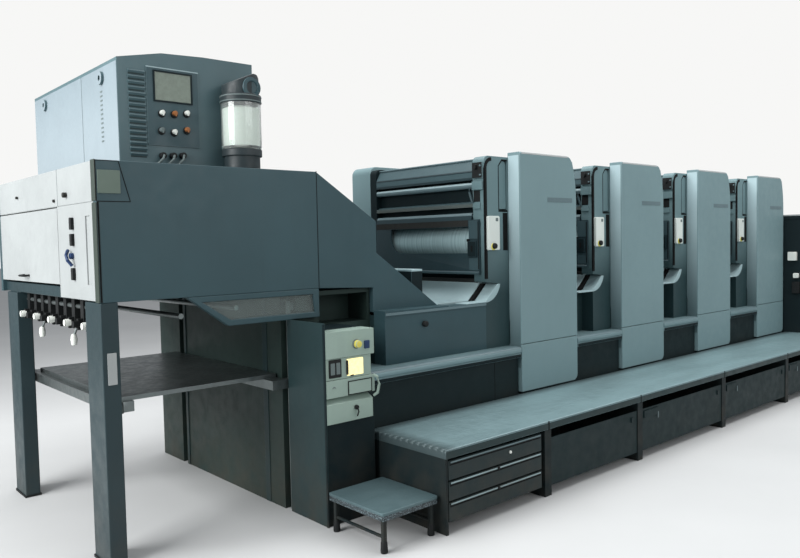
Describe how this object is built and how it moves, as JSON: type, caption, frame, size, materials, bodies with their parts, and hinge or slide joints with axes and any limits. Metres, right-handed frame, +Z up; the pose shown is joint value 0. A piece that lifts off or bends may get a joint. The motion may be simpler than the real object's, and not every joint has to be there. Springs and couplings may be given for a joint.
{
  "type": "offset printing press",
  "caption": "Sheet-fed offset printing press: row of printing units with swinging guards and turning cylinders, high-pile delivery, feeder and operator gallery with drawers",
  "frame": {"origin": "centre of the machine's footprint, on the floor", "axes": "+X along the machine from the delivery to the feeder, +Y from the operator side to the drive side, +Z up"},
  "size_m": [9.185, 2.467, 2.436],
  "materials": {
    "bed_paint": "satin enamel",
    "frame_paint": "grey-green semi-gloss enamel",
    "tower_paint": "light grey semi-gloss enamel",
    "dark_paint": "dark satin enamel",
    "cover_paint": "light satin enamel",
    "guard_paint": "grey semi-gloss enamel",
    "cylinder_steel": "ground steel",
    "tread_plate": "worn tread plate",
    "deck_plate": "ribbed plate",
    "steel_rod": "drawn steel",
    "clear_pane": "clear sheet",
    "jar_glass": "clear jar",
    "black_plastic": "matt moulded plastic",
    "box_paint": "cream enamel"
  },
  "bodies": {
    "machine": {"machine_base": "bed_paint", "link_panels": "frame_paint", "near_frames": "frame_paint", "far_frames": "frame_paint", "gear_covers": "cover_paint", "unit_cores": "dark_paint", "tower_covers": "tower_paint", "ink_covers": "cover_paint", "unit_boxes": "box_paint", "catch_sheets": "cover_paint", "treads": "tread_plate", "kick_panels": "dark_paint", "gallery_deck": "deck_plate", "gallery_frame": "dark_paint", "skirt_panels": "dark_paint", "step_stool": "deck_plate", "delivery_near_panel": "frame_paint", "delivery_far_panel": "frame_paint", "delivery_hood": "cover_paint", "end_fascia": "tower_paint", "button_panel": "frame_paint", "delivery_legs": "frame_paint", "sheet_stops": "steel_rod", "chain_rails": "steel_rod", "gripper_bars": "steel_rod", "side_guard": "frame_paint", "guard_pane": "clear_pane", "delivery_housing": "bed_paint", "corner_panel": "frame_paint", "control_stack": "box_paint", "control_cabinet": "dark_paint", "guide_rods": "steel_rod", "powder_cabinet": "frame_paint", "powder_jar": "jar_glass", "jar_fittings": "black_plastic", "feeder_frames": "frame_paint", "feeder_console": "dark_paint", "feeder_base": "dark_paint", "feed_table": "cover_paint", "suction_head": "dark_paint", "feeder_platform": "steel_rod"},
    "pile": {"pile_platform": "steel_rod"},
    "end_cover": {"end_cover": "tower_paint"},
    "guard_1": {"guard_1": "guard_paint"},
    "blanket_cylinder_1": {"blanket_cylinder_1": "cylinder_steel"},
    "guard_2": {"guard_2": "guard_paint"},
    "blanket_cylinder_2": {"blanket_cylinder_2": "cylinder_steel"},
    "guard_3": {"guard_3": "guard_paint"},
    "blanket_cylinder_3": {"blanket_cylinder_3": "cylinder_steel"},
    "guard_4": {"guard_4": "guard_paint"},
    "blanket_cylinder_4": {"blanket_cylinder_4": "cylinder_steel"},
    "drawer_1": {"drawer_1": "dark_paint"},
    "drawer_2": {"drawer_2": "dark_paint"},
    "drawer_3": {"drawer_3": "dark_paint"}
  },
  "joints": [
    {"name": "pile_lift", "type": "slide", "parent": "machine", "child": "pile", "axis": [0, 0, 1], "range_m": [-0.6, 0.25]},
    {"name": "end_cover_hinge", "type": "hinge", "parent": "machine", "child": "end_cover", "pos_m": [-4.5845, 0.5635, 1.657], "axis": [0, 1, 0], "range_deg": [0, 80]},
    {"name": "guard_1_hinge", "type": "hinge", "parent": "machine", "child": "guard_1", "pos_m": [-2.1295, 0.0635, 1.62], "axis": [0, 1, 0], "range_deg": [0, 100]},
    {"name": "guard_2_hinge", "type": "hinge", "parent": "machine", "child": "guard_2", "pos_m": [-0.9095, 0.0635, 1.62], "axis": [0, 1, 0], "range_deg": [0, 100]},
    {"name": "guard_3_hinge", "type": "hinge", "parent": "machine", "child": "guard_3", "pos_m": [0.3105, 0.0635, 1.62], "axis": [0, 1, 0], "range_deg": [0, 100]},
    {"name": "guard_4_hinge", "type": "hinge", "parent": "machine", "child": "guard_4", "pos_m": [1.5305, 0.0635, 1.62], "axis": [0, 1, 0], "range_deg": [0, 100]},
    {"name": "cylinder_1_turn", "type": "hinge", "parent": "machine", "child": "blanket_cylinder_1", "pos_m": [-1.9925, 0.0635, 1.45], "axis": [0, 1, 0], "continuous": true},
    {"name": "cylinder_2_turn", "type": "hinge", "parent": "machine", "child": "blanket_cylinder_2", "pos_m": [-0.7725, 0.0635, 1.45], "axis": [0, 1, 0], "continuous": true},
    {"name": "cylinder_3_turn", "type": "hinge", "parent": "machine", "child": "blanket_cylinder_3", "pos_m": [0.4475, 0.0635, 1.45], "axis": [0, 1, 0], "continuous": true},
    {"name": "cylinder_4_turn", "type": "hinge", "parent": "machine", "child": "blanket_cylinder_4", "pos_m": [1.6675, 0.0635, 1.45], "axis": [0, 1, 0], "continuous": true},
    {"name": "drawer_1_slide", "type": "slide", "parent": "machine", "child": "drawer_1", "axis": [0, -1, 0], "range_m": [0, 0.35]},
    {"name": "drawer_2_slide", "type": "slide", "parent": "machine", "child": "drawer_2", "axis": [0, -1, 0], "range_m": [0, 0.35]},
    {"name": "drawer_3_slide", "type": "slide", "parent": "machine", "child": "drawer_3", "axis": [0, -1, 0], "range_m": [0, 0.35]}
  ],
  "couplings": [
    {"joint": "cylinder_2_turn", "follows": "cylinder_1_turn", "ratio": 1},
    {"joint": "cylinder_3_turn", "follows": "cylinder_1_turn", "ratio": 1},
    {"joint": "cylinder_4_turn", "follows": "cylinder_1_turn", "ratio": 1}
  ]
}
